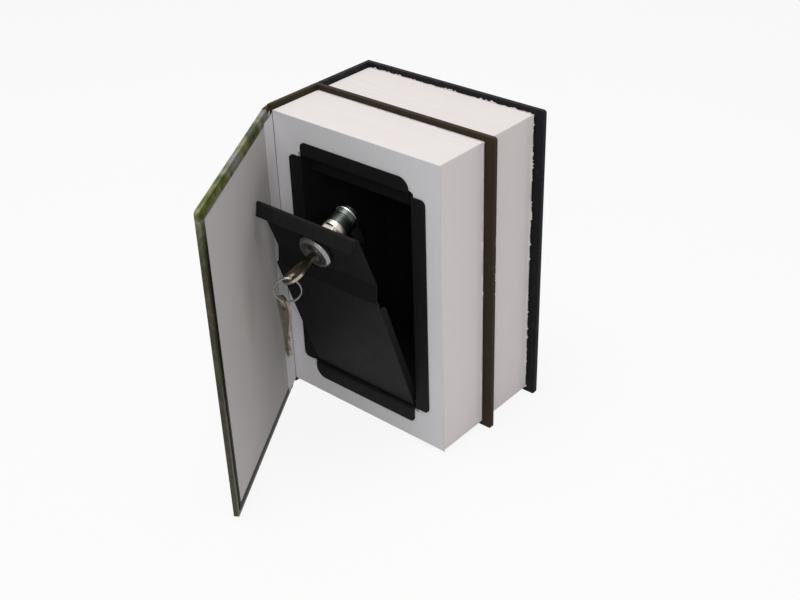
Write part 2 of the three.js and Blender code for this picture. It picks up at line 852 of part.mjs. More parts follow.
safe.add(
  piece('front_page_block', 'pages', frontPages()),
  piece('rear_page_block', 'pages', rearPages()),
  piece('front_flyleaf', 'endpaper', frontFlyleaf()),
  piece('middle_pastedown', 'endpaper', middlePastedown()),
  piece('divider_endpaper', 'endpaper', dividerEndpaper()),
  piece('rear_pastedown', 'endpaper', rearPastedown()),
  piece('front_spine_board', 'greyboard', spineBoard(frontPagesFront, middleBoardFront + boardThickness)),
  piece('middle_board', 'greyboard', middleBoard()),
  piece('front_case_cloth', 'oliveCloth', frontCaseCloth()),
  piece('rear_spine_board', 'greyboard', spineBoard(rearPagesFront, rearBoardBack)),
  piece('rear_cover_board', 'greyboard', sideBoard(rearBoardFront)),
  piece('rear_case_cloth', 'blackCloth', rearCaseCloth()),
  piece('box_shell', 'blackSteel', boxShell()),
  piece('box_back', 'blackSteel', boxBackTray()),
  piece('latch_channel', 'blackSteel', latchChannel()),
  piece('hinge_pin_left', 'steel', hingePin(-1)),
  piece('hinge_pin_right', 'steel', hingePin(1)),
);

const cover = new THREE.Group();
cover.position.set(hingeX, hingeY, 0);
cover.rotation.z = -coverOpenAngle;
cover.add(
  piece('front_cover_board', 'greyboard', coverBoard()),
  piece('front_cover_cloth', 'coverPrint', coverCloth()),
  piece('front_pastedown', 'endpaper', coverPastedown()),
);
safe.add(cover);

const door = new THREE.Group();
door.position.set(pivotX, pivotY, pivotZ);
door.rotation.x = doorLean;
door.add(piece('door_panel', 'blackSteel', doorPanel()));
safe.add(door);

const lock = new THREE.Group();
lock.position.set(-lockAside, plateFace, lockUp);
lock.rotation.x = plateTilt;
lock.add(
  piece('lock_barrel', 'nickel', lockBarrel()),
  piece('lock_washer', 'steel', lockWasher()),
  piece('lock_nut', 'nickel', lockNut()),
  piece('lock_cam', 'steel', lockCam()),
  piece('cam_screw', 'steel', camScrew()),
);
door.add(lock);

const plug = new THREE.Group();
plug.rotation.y = -keyTurn;
plug.add(piece('lock_plug', 'nickel', lockPlug()));
lock.add(plug);

const key = new THREE.Group();
key.position.set(0, -gluedGap - bezelThickness - keyStandOff, 0);
key.rotation.x = Math.PI / 2;
key.add(piece('key_in_lock', 'brass', keyBody()));
plug.add(key);

safe.updateMatrixWorld(true);

// The ring hangs upright from the key's bow, a little off the middle of the hole
const ringAt = new THREE.Vector3(-ringSlipAcross, 0, bowHoleHeight + ringSlipAlong);
ringAt.applyMatrix4(key.matrixWorld);
const downRing = (angle) => new THREE.Vector3(
  -ringRadius * Math.sin(angle) * Math.cos(ringHeading),
  -ringRadius * Math.sin(angle) * Math.sin(ringHeading),
  -ringRadius * Math.cos(angle),
);
const ring = new THREE.Group();
ring.position.copy(ringAt).add(downRing(ringHang));
ring.rotation.z = ringHeading;
ring.add(piece('key_ring', 'nickel', splitRing()));
safe.add(ring);

// The spare has stuck a little to one side of the ring's lowest point
const spare = new THREE.Group();
spare.position.copy(ring.position).add(downRing(spareSlide));
spare.position.z -= spareDrop + bowHoleHeight;
spare.rotation.z = spareHeading;
spare.add(piece('spare_key', 'brass', keyBody()));
safe.add(spare);

export default safe;
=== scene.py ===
import math
import random
import bmesh
import bpy
from mathutils import Matrix, Vector


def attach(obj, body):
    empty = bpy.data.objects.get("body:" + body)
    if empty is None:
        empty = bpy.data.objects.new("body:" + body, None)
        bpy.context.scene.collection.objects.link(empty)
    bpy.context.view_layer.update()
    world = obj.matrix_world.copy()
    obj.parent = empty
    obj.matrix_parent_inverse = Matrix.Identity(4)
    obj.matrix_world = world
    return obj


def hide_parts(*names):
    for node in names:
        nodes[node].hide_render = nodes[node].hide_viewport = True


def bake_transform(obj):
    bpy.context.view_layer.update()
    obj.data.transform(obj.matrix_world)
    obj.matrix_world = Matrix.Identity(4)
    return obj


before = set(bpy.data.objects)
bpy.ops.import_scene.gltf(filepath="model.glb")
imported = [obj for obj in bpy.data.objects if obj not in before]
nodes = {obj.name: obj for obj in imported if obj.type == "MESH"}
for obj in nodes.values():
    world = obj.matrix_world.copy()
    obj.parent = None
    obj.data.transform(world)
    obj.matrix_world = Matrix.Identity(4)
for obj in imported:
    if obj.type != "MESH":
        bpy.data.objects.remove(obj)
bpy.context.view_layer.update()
MM = 0.001  # the sizes below are in millimetres, the scene is in metres
rng = random.Random(7)

# Driving sizes, in millimetres, as in the part's source
PAGE_LEFT = -78.55
PAGE_RIGHT = 74.25
PAGE_BOTTOM = 4.0
PAGE_TOP = 236.0
COVER_HEIGHT = 240.0
FRONT_PAGES = (-48.6, -2.3)
REAR_PAGES = (2.3, 54.5)
BOX_X = (-53.25, 48.75)
BOX_Z = (31.8, 207.8)
BOX_REACH = 2.5  # from the box to the cut in the pages
BOX_END = 46.9  # where the pocket in the rear pages ends
HINGE = (-81.15, -50.9)
OPEN_ANGLE = math.radians(58.9)
LEAVES = 0.42  # thickness of one gathering of leaves
CUT_SHORT = 1.1  # how far the gatherings next to a board are set back


# Materials

class Nodes:
    """A small helper that builds a material's node tree."""

    def __init__(self, name):
        self.material = bpy.data.materials.new(name)
        self.material.use_nodes = True
        self.tree = self.material.node_tree
        self.shader = self.tree.nodes["Principled BSDF"]
        self.coords = self.add("ShaderNodeTexCoord").outputs["Object"]

    def add(self, kind, **values):
        made = self.tree.nodes.new(kind)
        for key, value in values.items():
            setattr(made, key, value)
        return made

    def link(self, source, target):
        self.tree.links.new(source, target)

    def set(self, **values):
        for key, value in values.items():
            self.shader.inputs[key.replace("_", " ")].default_value = value

    def scaled(self, x, y, z):
        mapping = self.add("ShaderNodeMapping")
        mapping.inputs["Scale"].default_value = (x, y, z)
        self.link(self.coords, mapping.inputs["Vector"])
        return mapping.outputs["Vector"]

    def noise(self, scale, detail=3.0, rough=0.5, vector=None, distortion=0.0):
        made = self.add("ShaderNodeTexNoise")
        made.inputs["Scale"].default_value = scale
        made.inputs["Detail"].default_value = detail
        made.inputs["Roughness"].default_value = rough
        made.inputs["Distortion"].default_value = distortion
        self.link(vector or self.coords, made.inputs["Vector"])
        return made.outputs["Fac"]

    def ramp(self, value, stops):
        made = self.add("ShaderNodeValToRGB")
        ramp = made.color_ramp
        while len(ramp.elements) < len(stops):
            ramp.elements.new(0.5)
        for element, (place, colour) in zip(ramp.elements, stops):
            element.position = place
            element.color = (*colour, 1.0)
        self.link(value, made.inputs["Fac"])
        return made.outputs["Color"]

    def mix(self, factor, first, second):
        made = self.add("ShaderNodeMix", data_type="RGBA")
        for socket, value in zip((made.inputs[0], made.inputs[6], made.inputs[7]), (factor, first, second)):
            if isinstance(value, bpy.types.NodeSocket):
                self.link(value, socket)
            else:
                socket.default_value = value if socket == made.inputs[0] else (*value, 1.0)
        return made.outputs[2]

    def maths(self, operation, first, second):
        made = self.add("ShaderNodeMath", operation=operation)
        for socket, value in zip(made.inputs, (first, second)):
            if isinstance(value, bpy.types.NodeSocket):
                self.link(value, socket)
            else:
                socket.default_value = value
        return made.outputs[0]

    def spread(self, value, low, high, start=0.0, stop=1.0):
        """The range from start to stop, taken to the range from low to high."""
        made = self.add("ShaderNodeMapRange")
        for name, number in (("From Min", start), ("From Max", stop), ("To Min", low), ("To Max", high)):
            made.inputs[name].default_value = number
        self.link(value, made.inputs["Value"])
        return made.outputs["Result"]

    def rubbed_edges(self, pointed, scale, worn, amount):
        """A patchy mask of the outer edges."""
        geometry = self.add("ShaderNodeNewGeometry")
        edge = self.ramp(geometry.outputs["Pointiness"], pointed)
        patches = self.ramp(self.noise(scale, 4, 0.7), worn)
        return self.maths("MULTIPLY", self.maths("MULTIPLY", edge, patches), amount)

    def bump(self, *layers):
        """Layers of (height, depth in millimetres), one on the next."""
        normal = None
        for height, depth in layers:
            made = self.add("ShaderNodeBump")
            made.inputs["Strength"].default_value = 1.0
            made.inputs["Distance"].default_value = depth * MM
            self.link(height, made.inputs["Height"])
            if normal:
                self.link(normal, made.inputs["Normal"])
            normal = made.outputs["Normal"]
        self.link(normal, self.shader.inputs["Normal"])


DARK = (0, 0, 0)
LIGHT = (1, 1, 1)
EDGE_TONES = [(0.3, (0.775, 0.72, 0.71)), (0.7, (0.81, 0.765, 0.76))]
HEAD_FADE = (0.205, 0.236)  # heights in metres between which the print turns paler


def paper_edges():
    """The cut edges of the leaves: fine lines, broader bands and a faint mottling."""
    m = Nodes("page_edges")
    leaves = m.noise(1.0, 2, 0.6, m.scaled(30, 3200, 30))
    bands = m.noise(1.0, 2, 0.5, m.scaled(7, 300, 7))
    mottling = m.noise(26, 4, 0.6)
    tone = m.ramp(leaves, [
        (0.25, (0.765, 0.715, 0.705)), (0.6, (0.80, 0.755, 0.75)), (0.85, (0.815, 0.775, 0.77)),
    ])
    tone = m.mix(0.45, tone, m.ramp(bands, EDGE_TONES))
    tone = m.mix(0.3, tone, m.ramp(mottling, EDGE_TONES))
    m.link(tone, m.shader.inputs["Base Color"])
    m.set(Roughness=0.85, Specular_IOR_Level=0.2)
    m.bump((leaves, 0.05), (bands, 0.06))
    return m.material


def endpaper(name, colour, warm):
    """Plain paper with a little fibre and cloud."""
    m = Nodes(name)
    fibres = m.noise(900, 3, 0.6, m.scaled(1, 1, 0.35))
    cloud = m.noise(16, 3, 0.55)
    tone = m.mix(cloud, tuple(c * 0.955 for c in colour), colour)
    tone = m.mix(m.maths("MULTIPLY", fibres, 0.35), tone, warm)
    m.link(tone, m.shader.inputs["Base Color"])
    m.set(Roughness=0.72, Specular_IOR_Level=0.3)
    m.bump((fibres, 0.03), (m.noise(60, 3, 0.5), 0.12))
    return m.material


def greyboard():
    m = Nodes("binders_board")
    fibres = m.noise(700, 4, 0.65)
    layers = m.noise(1.0, 2, 0.5, m.scaled(60, 2600, 60))
    tone = m.ramp(fibres, [(0.3, (0.16, 0.145, 0.12)), (0.7, (0.33, 0.31, 0.27))])
    tone = m.mix(0.4, tone, m.ramp(layers, [(0.3, (0.17, 0.155, 0.13)), (0.7, (0.3, 0.28, 0.24))]))
    m.link(tone, m.shader.inputs["Base Color"])
    m.set(Roughness=0.95, Specular_IOR_Level=0.15)
    m.bump((fibres, 0.12), (layers, 0.1))
    return m.material


def book_cloth(name, dark, light, worn, weave_depth, wear_amount):
    """Woven book cloth, paler where edges rub."""
    m = Nodes(name)
    waves = []
    for axis in ("X", "Y", "Z"):
        wave = m.add("ShaderNodeTexWave", wave_type="BANDS", bands_direction=axis)
        wave.inputs["Scale"].default_value = 620
        wave.inputs["Distortion"].default_value = 0.6
        wave.inputs["Detail"].default_value = 1.0
        m.link(m.coords, wave.inputs["Vector"])
        waves.append(wave.outputs["Fac"])
    weave = m.maths("MULTIPLY", m.maths("ADD", m.maths("ADD", waves[0], waves[1]), waves[2]), 1 / 3)
    cloud = m.noise(34, 3, 0.5)
    middle = tuple((a + b) / 2 for a, b in zip(dark, light))
    tone = m.mix(m.maths("MULTIPLY", cloud, 0.6), middle, light)
    tone = m.mix(m.maths("MULTIPLY", weave, 0.35), tone, dark)
    rubbed = m.rubbed_edges([(0.54, DARK), (0.66, LIGHT)], 180, [(0.5, DARK), (0.75, LIGHT)], wear_amount)
    m.link(m.mix(rubbed, tone, worn), m.shader.inputs["Base Color"])
    m.set(Roughness=0.7, Specular_IOR_Level=0.14)
    m.bump((weave, weave_depth), (cloud, 0.08))
    return m.material


def mottled_print(name, shade, gloss):
    """
    A plain decorative paper: soft dark greens and browns, with paler drifts towards the head.
    Shade is painted shade: it darkens the paper below the head.
    """
    m = Nodes(name)
    warp = m.add("ShaderNodeTexNoise")
    warp.inputs["Scale"].default_value = 14
    warp.inputs["Detail"].default_value = 4
    m.link(m.coords, warp.inputs["Vector"])
    moved = m.add("ShaderNodeMixRGB", blend_type="ADD")
    moved.inputs["Fac"].default_value = 0.06
    m.link(m.coords, moved.inputs["Color1"])
    m.link(warp.outputs["Color"], moved.inputs["Color2"])
    drift = m.noise(17, 4, 0.6, moved.outputs["Color"], 0.5)
    fine = m.noise(110, 5, 0.65, moved.outputs["Color"], 0.4)
    deep = m.ramp(drift, [
        (0.34, (0.010, 0.014, 0.007)), (0.44, (0.034, 0.040, 0.016)), (0.50, (0.060, 0.038, 0.020)),
        (0.56, (0.024, 0.021, 0.016)), (0.64, (0.042, 0.055, 0.017)), (0.74, (0.066, 0.052, 0.034)),
    ])
    pale = m.ramp(drift, [
        (0.38, (0.030, 0.045, 0.010)), (0.44, (0.12, 0.145, 0.022)), (0.485, (0.27, 0.26, 0.13)),
        (0.53, (0.27, 0.28, 0.34)), (0.57, (0.20, 0.20, 0.085)), (0.63, (0.035, 0.05, 0.012)),
    ])
    height = m.add("ShaderNodeSeparateXYZ")
    m.link(m.coords, height.inputs["Vector"])
    tone = m.mix(m.spread(height.outputs["Z"], 0.0, 1.0, *HEAD_FADE), deep, pale)
    speck = m.ramp(fine, [
        (0.38, (0.01, 0.012, 0.006)), (0.55, (0.05, 0.05, 0.022)), (0.75, (0.20, 0.18, 0.11)),
    ])
    # Painted shade: below the head the paper is mixed towards black by the shade given
    painted_shade_below_head = m.spread(height.outputs["Z"], shade, 0.0, *HEAD_FADE)
    printed = m.mix(painted_shade_below_head, m.mix(0.28, tone, speck), (0.008, 0.008, 0.006))
    m.link(printed, m.shader.inputs["Base Color"])
    m.set(Roughness=0.45, Specular_IOR_Level=gloss)
    m.bump((m.noise(500, 2, 0.5), 0.03), (m.noise(50, 3, 0.5), 0.1))
    return m.material


def powder_coat():
    """Black paint with a fine orange-peel surface, a little rubbed at the edges."""
    m = Nodes("black_powder_coat")
    orange_peel = m.noise(900, 2, 0.5)
    cloud = m.noise(22, 4, 0.6)
    tone = m.mix(cloud, (0.0082, 0.0082, 0.0092), (0.0122, 0.0120, 0.0130))
    rubbed = m.rubbed_edges([(0.56, DARK), (0.7, LIGHT)], 240, [(0.5, DARK), (0.72, LIGHT)], 0.25)
    m.link(m.mix(rubbed, tone, (0.05, 0.048, 0.046)), m.shader.inputs["Base Color"])
    m.link(m.spread(m.noise(70, 4, 0.6), 0.5, 0.64), m.shader.inputs["Roughness"])
    m.set(Specular_IOR_Level=0.065)
    m.bump((orange_peel, 0.05), (cloud, 0.15))
    return m.material


def plated(name, low, high, rough_low, rough_high, scratch=1.0):
    """Plated or bare metal with fine brushing, dull patches and small scratches."""
    m = Nodes(name)
    brushed = m.noise(1.0, 3, 0.6, m.scaled(300, 2600, 300))
    patches = m.noise(150, 4, 0.6)
    fine = m.noise(1600, 2, 0.5)
    m.link(m.mix(patches, low, high), m.shader.inputs["Base Color"])
    m.link(m.spread(patches, rough_low, rough_high), m.shader.inputs["Roughness"])
    m.set(Metallic=1.0)
    m.bump((brushed, 0.012 * scratch), (fine, 0.01 * scratch))
    return m.material


def floor_material():
    """A pale floor that keeps the shadow and shows as white to the camera, glass and metal."""
    m = Nodes("pale_floor")
    cloud = m.noise(3, 2, 0.5)
    m.link(m.mix(cloud, (0.80, 0.80, 0.80), (0.82, 0.82, 0.82)), m.shader.inputs["Base Color"])
    m.set(Roughness=0.9, Specular_IOR_Level=0.1)
    path = m.add("ShaderNodeLightPath")
    seen = m.maths("MAXIMUM", path.outputs["Is Camera Ray"], path.outputs["Is Glossy Ray"])
    seen = m.maths("MAXIMUM", seen, path.outputs["Is Transmission Ray"])
    glow = m.add("ShaderNodeEmission")
    glow.inputs["Color"].default_value = (*LIGHT, 1)
    glow.inputs["Strength"].default_value = 1.0
    blend = m.add("ShaderNodeMixShader")
    m.link(m.maths("MULTIPLY", seen, 0.88), blend.inputs["Fac"])
    m.link(m.shader.outputs["BSDF"], blend.inputs[1])
    m.link(glow.outputs["Emission"], blend.inputs[2])
    m.link(blend.outputs["Shader"], m.tree.nodes["Material Output"].inputs["Surface"])
    return m.material


PAGES = paper_edges()
ENDPAPER = endpaper("endpaper_white", (0.735, 0.725, 0.745), (0.70, 0.69, 0.70))
# The front pastedown is the endpaper's paper, made darker as painted shade
SHADED_PASTEDOWN = endpaper("pastedown_painted_shade", (0.60, 0.57, 0.56), (0.575, 0.545, 0.535))
BOARD = greyboard()
OLIVE = book_cloth(
    "olive_book_cloth", (0.024, 0.0165, 0.0085), (0.040, 0.0285, 0.016), (0.16, 0.13, 0.09), 0.06, 0.2)
BLACK = book_cloth(
    "black_book_cloth", (0.0068, 0.0068, 0.0080), (0.0125, 0.0125, 0.0150), (0.14, 0.14, 0.15), 0.05, 0.25)
PRINT = mottled_print("mottled_cover_paper", 0.0, 0.3)
# The turned-in paper is the cover's print, with painted shade below the head
SHADED_TURN_IN = mottled_print("turned_in_paper_painted_shade", 0.8, 0.04)
COAT = powder_coat()
NICKEL = plated("nickel_plate", (0.22, 0.215, 0.21), (0.34, 0.335, 0.32), 0.2, 0.34)
DULL = plated("dull_plated_body", (0.045, 0.055, 0.050), (0.115, 0.127, 0.116), 0.24, 0.4, 1.5)
WIRE = plated("ring_wire", (0.24, 0.235, 0.225), (0.36, 0.35, 0.335), 0.2, 0.34)
BEIGE = plated("nut_plating", (0.50, 0.465, 0.41), (0.70, 0.66, 0.59), 0.2, 0.34, 1.5)
SATIN = plated("satin_nickel", (0.13, 0.13, 0.125), (0.21, 0.205, 0.195), 0.24, 0.4, 1.5)
ZINC = plated("zinc_plated_steel", (0.30, 0.305, 0.31), (0.45, 0.45, 0.44), 0.28, 0.45)
DARK_STEEL = plated("black_oxide_steel", (0.018, 0.018, 0.019), (0.035, 0.034, 0.034), 0.35, 0.5)
# The key in the lock gets a darker copy of the key metal as painted shade on its faces
SHADED_KEY_METAL = plated("key_metal_painted_shade", (0.085, 0.076, 0.044), (0.19, 0.17, 0.11), 0.26, 0.42, 2.0)
# The edge faces of the key in the lock get a brighter copy of the metal as a painted highlight
KEY_EDGE_HIGHLIGHT = plated("key_edge_painted_highlight", (0.33, 0.27, 0.20), (0.52, 0.44, 0.35), 0.24, 0.38, 1.0)
SPARE_METAL = plated("spare_key_metal", (0.19, 0.185, 0.145), (0.35, 0.335, 0.26), 0.34, 0.5, 2.0)
SPARE_EDGE = plated("spare_key_edge", (0.16, 0.13, 0.098), (0.29, 0.24, 0.19), 0.3, 0.45, 1.0)
GROOVE_SHADE = plated("groove_shade", (0.03, 0.03, 0.029), (0.06, 0.06, 0.057), 0.4, 0.55)
PLUG_FACE = plated("plug_metal", (0.17, 0.165, 0.155), (0.27, 0.26, 0.245), 0.24, 0.4)

# The material of each CAD node
FINISHES = {
    "front_page_block": PAGES, "rear_page_block": PAGES,
    "front_flyleaf": ENDPAPER, "middle_pastedown": ENDPAPER, "divider_endpaper": ENDPAPER,
    "rear_pastedown": ENDPAPER, "front_pastedown": SHADED_PASTEDOWN,
    "front_spine_board": BOARD, "middle_board": BOARD, "rear_spine_board": BOARD,
    "rear_cover_board": BOARD, "front_cover_board": BOARD,
    "front_case_cloth": OLIVE, "rear_case_cloth": BLACK, "front_cover_cloth": PRINT,
    "box_shell": COAT, "box_back": COAT, "latch_channel": COAT, "door_panel": COAT,
    "hinge_pin_left": DARK_STEEL, "hinge_pin_right": DARK_STEEL, "lock_washer": ZINC, "lock_nut": BEIGE,
    "lock_barrel": NICKEL, "lock_plug": PLUG_FACE, "lock_cam": DARK_STEEL, "cam_screw": DARK_STEEL,
    "key_in_lock": SHADED_KEY_METAL, "spare_key": SHADED_KEY_METAL, "key_ring": NICKEL,
}


def dress(obj, material, bevel=0.0, segments=2, angle=40):
    obj.data.materials.clear()
    obj.data.materials.append(material)
    if bevel:
        made = obj.modifiers.new("edge", "BEVEL")
        made.width = bevel * MM
        made.segments = segments
        made.limit_method = "ANGLE"
        made.angle_limit = math.radians(angle)


# How far the edges are rounded, in millimetres
BEVELS = {
    "front_case_cloth": 0.35, "rear_case_cloth": 0.35, "front_cover_cloth": 0.35,
    "box_shell": 0.2, "box_back": 0.2, "latch_channel": 0.2, "door_panel": 0.22,
    "lock_nut": 0.25, "lock_cam": 0.25, "cam_screw": 0.2, "lock_plug": 0.15, "lock_washer": 0.15,
    "hinge_pin_left": 0.15, "hinge_pin_right": 0.15,
}
for name, material in FINISHES.items():
    dress(nodes[name], material, BEVELS.get(name, 0.0))


# Meshes

def from_bmesh(name, build, material, smooth=None):
    """An object from a function that fills a bmesh. Smooth is the angle under which edges are smooth."""
    mesh = bpy.data.meshes.new(name)
    made = bmesh.new()
    build(made)
    bmesh.ops.recalc_face_normals(made, faces=made.faces)
    made.to_mesh(mesh)
    made.free()
    obj = bpy.data.objects.new(name, mesh)
    bpy.context.scene.collection.objects.link(obj)
    mesh.materials.append(material)
    if smooth is not None:
        for face in mesh.polygons:
            face.use_smooth = True
        bpy.context.view_layer.objects.active = obj
        obj.select_set(True)
        bpy.ops.object.shade_smooth_by_angle(angle=math.radians(smooth))
        obj.select_set(False)
    return obj


def skin(made, rows):
    """Closes a run of equal loops into a solid, with a face over each end."""
    count = len(rows[0])
    for a, b in zip(rows, rows[1:]):
        for k in range(count):
            n = (k + 1) % count
            made.faces.new((a[k], a[n], b[n], b[k]))
    made.faces.new(rows[0][::-1])
    made.faces.new(rows[-1])


def ring_layer(made, outer, inner, front, back):
    """One closed layer between two faces: a rectangle, with or without a rectangular hole."""
    def loop(rect, y):
        x0, z0, x1, z1 = rect
        return [made.verts.new((x * MM, y * MM, z * MM)) for x, z in ((x0, z0), (x1, z0), (x1, z1), (x0, z1))]
    outs = [loop(outer, front), loop(outer, back)]
    if inner is None:
        skin(made, outs)
        return
    ins = [loop(inner, front), loop(inner, back)]
    for k in range(4):
        n = (k + 1) % 4
        made.faces.new((outs[0][k], outs[0][n], outs[1][n], outs[1][k]))
        made.faces.new((ins[0][n], ins[0][k], ins[1][k], ins[1][n]))
        made.faces.new((outs[0][n], outs[0][k], ins[0][k], ins[0][n]))
        made.faces.new((outs[1][k], outs[1][n], ins[1][n], ins[1][k]))


def page_stack(name, replaced, depth, hole_end, short_first):
    """The block as thin gatherings of leaves, each cut a hair differently."""
    hole = (BOX_X[0] - BOX_REACH, BOX_Z[0] - BOX_REACH, BOX_X[1] + BOX_REACH, BOX_Z[1] + BOX_REACH)

    def build(made):
        count = round((depth[1] - depth[0]) / LEAVES)
        step = (depth[1] - depth[0]) / count
        drift = 0.0
        for k in range(count):
            front = depth[0] + k * step
            back = front + step * 0.97
            drift = 0.8 * drift + rng.uniform(-0.05, 0.05)
            edge = [abs(drift) * 0.5 + rng.uniform(0.0, 0.04) for _ in range(4)]
            if k >= count - 2 or (k == 0 and short_first):
                edge = [CUT_SHORT + e for e in edge]
            outer = (PAGE_LEFT + edge[0], PAGE_BOTTOM + edge[1], PAGE_RIGHT - edge[2], PAGE_TOP - edge[3])
            cut = [rng.uniform(0.0, 0.08) for _ in range(4)]
            inner = (hole[0] - cut[0], hole[1] - cut[1], hole[2] + cut[2], hole[3] + cut[3])
            ring_layer(made, outer, inner if front < hole_end else None, front, back)
    stack = from_bmesh(name, build, PAGES)
    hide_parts(replaced)
    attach(stack, "safe")


page_stack("front_page_leaves", "front_page_block", FRONT_PAGES, math.inf, False)
page_stack("rear_page_leaves", "rear_page_block", REAR_PAGES, BOX_END, True)


# Torn paper and glue

FRINGE = endpaper("torn_paper", (0.74, 0.70, 0.69), (0.70, 0.66, 0.65))


def torn_fringe(name, path, inward, length, height):
    """A ragged line of paper and glue where a block meets a board: uneven peaks along a swaying run."""
    start, end = (Vector(p) for p in path)
    run = (end - start).normalized()
    inward = Vector(inward).normalized()
    side = run.cross(inward).normalized()
    steps = int((end - start).length / length)

    def build(made):
        rows = []
        swell = sway = 0.0
        for k in range(steps + 1):
            swell = 0.7 * swell + rng.gauss(0, 0.22)
            sway = max(-0.3, min(0.3, 0.9 * sway + rng.gauss(0, 0.07)))
            rise = height * min(1.6, max(0.3, 0.75 + swell + rng.gauss(0, 0.16)))
            if k in (0, steps):
                rise = 0.05
            at = start.lerp(end, k / steps) + side * sway
            thick = rng.uniform(0.08, 0.16)
            lean = rng.uniform(-0.2, 0.2)
            base = [at + side * thick * s for s in (-1, 1)]
            tip = [at - inward * rise + side * (lean * rise + thick * s * 0.4) for s in (-1, 1)]
            rows.append([made.verts.new(p * MM) for p in (base[0], base[1], tip[1], tip[0])])
        skin(made, rows)
    piece = from_bmesh(name, build, FRINGE, 60)
    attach(piece, "safe")


# Where each fringe runs through the depth, and its height
TORN = {
    "middle": (FRONT_PAGES[1] - 1.0, 0.9),
    "divider": (REAR_PAGES[0] + 0.75, 0.9),
    "rear": (REAR_PAGES[1] - 0.9, 1.7),
}
for label, (y, height) in TORN.items():
    side = PAGE_RIGHT - 0.35
    head = PAGE_TOP - 0.35
    torn_fringe(f"torn_edge_{label}_side", ((side, y, PAGE_BOTTOM + 1), (side, y, PAGE_TOP - 1)),
                (-1, 0, 0), 0.9, height)
    torn_fringe(f"torn_edge_{label}_top", ((PAGE_LEFT + 2, y, head), (PAGE_RIGHT - 1, y, head)),
                (0, 0, -1), 1.1, height * 0.8)


# Torn paper that stands past the middle board's edge, where the rear book is glued to it
torn_fringe("torn_edge_board_upper", ((82.65, 2.6, 112), (82.65, 2.6, 190)), (0, 1, 0), 1.2, 1.3)
torn_fringe("torn_edge_board_lower", ((82.65, 2.6, 28), (82.65, 2.6, 52)), (0, 1, 0), 1.2, 0.9)


POINTS = 11  # to one scrap of paper


def flake(name, place, size, normal):
    """A torn scrap of paper: a small curled star of uneven points."""
    place = Vector(place)
    normal = Vector(normal).normalized()
    across = normal.cross(Vector((0, 0, 1))).normalized()
    along = normal.cross(across)

    def build(made):
        fronts, backs = [], []
        for k in range(POINTS):
            angle = 2 * math.pi * k / POINTS
            reach = size * rng.uniform(0.35, 1.0)
            curl = rng.uniform(0.0, 0.45) * reach
            at = place + across * reach * math.cos(angle) + along * reach * math.sin(angle) + normal * curl
            fronts.append(made.verts.new((at + normal * 0.1) * MM))
            backs.append(made.verts.new(at * MM))
        # These draws go unused, and keep the scraps after this one as they are
        for _ in range(2 * POINTS):
            rng.random()
        hub_front = made.verts.new((place + normal * 0.12) * MM)
        hub_back = made.verts.new(place * MM)
        for k in range(POINTS):
            n = (k + 1) % POINTS
            made.faces.new((fronts[k], fronts[n], hub_front))
            made.faces.new((backs[n], backs[k], hub_back))
            made.faces.new((fronts[n], fronts[k], backs[k], backs[n]))
    piece = from_bmesh(name, build, FRINGE)
    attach(piece, "safe")


# Scraps at the notches between the flanges, each with its place and size
FLAKES = (
    ((49.6, -49.15, 211.2), 1.5), ((50.9, -49.2, 209.9), 0.9), ((48.3, -49.15, 212.4), 0.8),
    ((-54.6, -49.15, 211.3), 1.3), ((54.0, -49.15, 29.8), 1.6), ((52.4, -49.2, 28.6), 0.9),
)
for index, (place, size) in enumerate(FLAKES):
    flake(f"paper_flake_{index}", place, size, (0, -1, 0))
# Scraps at the corners of the page blocks
CORNER_TUFTS = (
    ((74.3, 53.9, 235.6), 1.5), ((74.6, 53.3, 234.6), 1.1), ((74.4, 53.9, 5.4), 1.3),
    ((74.4, 53.6, 7.2), 0.9), ((74.3, -2.9, 235.4), 0.8), ((74.3, -2.9, 6.0), 0.9),
)
for index, (place, size) in enumerate(CORNER_TUFTS):
    flake(f"corner_tuft_{index}", place, size, (0.9, -0.4, 0.3))


# The first leaf's free corner, sprung a little away from the block
LEAF_TOP = 118
LEAF_EDGE = ((74.0, LEAF_TOP), (74.45, 96), (74.8, 52), (75.0, 12), (75.3, 3.1), (73.6, 3.7))


def loose_leaf(made):
    loops = []
    for thickness in (0.0, 0.14):
        depths = [FRONT_PAGES[0] + 0.5 * z / LEAF_TOP + thickness for _, z in LEAF_EDGE]
        outline = [(x, y, z) for (x, z), y in zip(LEAF_EDGE, depths)]
        loops.append([made.verts.new(Vector(p) * MM) for p in outline])
    skin(made, loops)


leaf = from_bmesh("loose_leaf", loose_leaf, FRINGE)
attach(leaf, "safe")


# Cover joint: cloth outside, paper inside and a lining between them, all running over the hinge

def along_cover(reach, offset):
    """A point in the cover's own frame, turned to where it rests."""
    c, s = math.cos(-OPEN_ANGLE), math.sin(-OPEN_ANGLE)
    return HINGE[0] + reach * c - offset * s, HINGE[1] + reach * s + offset * c


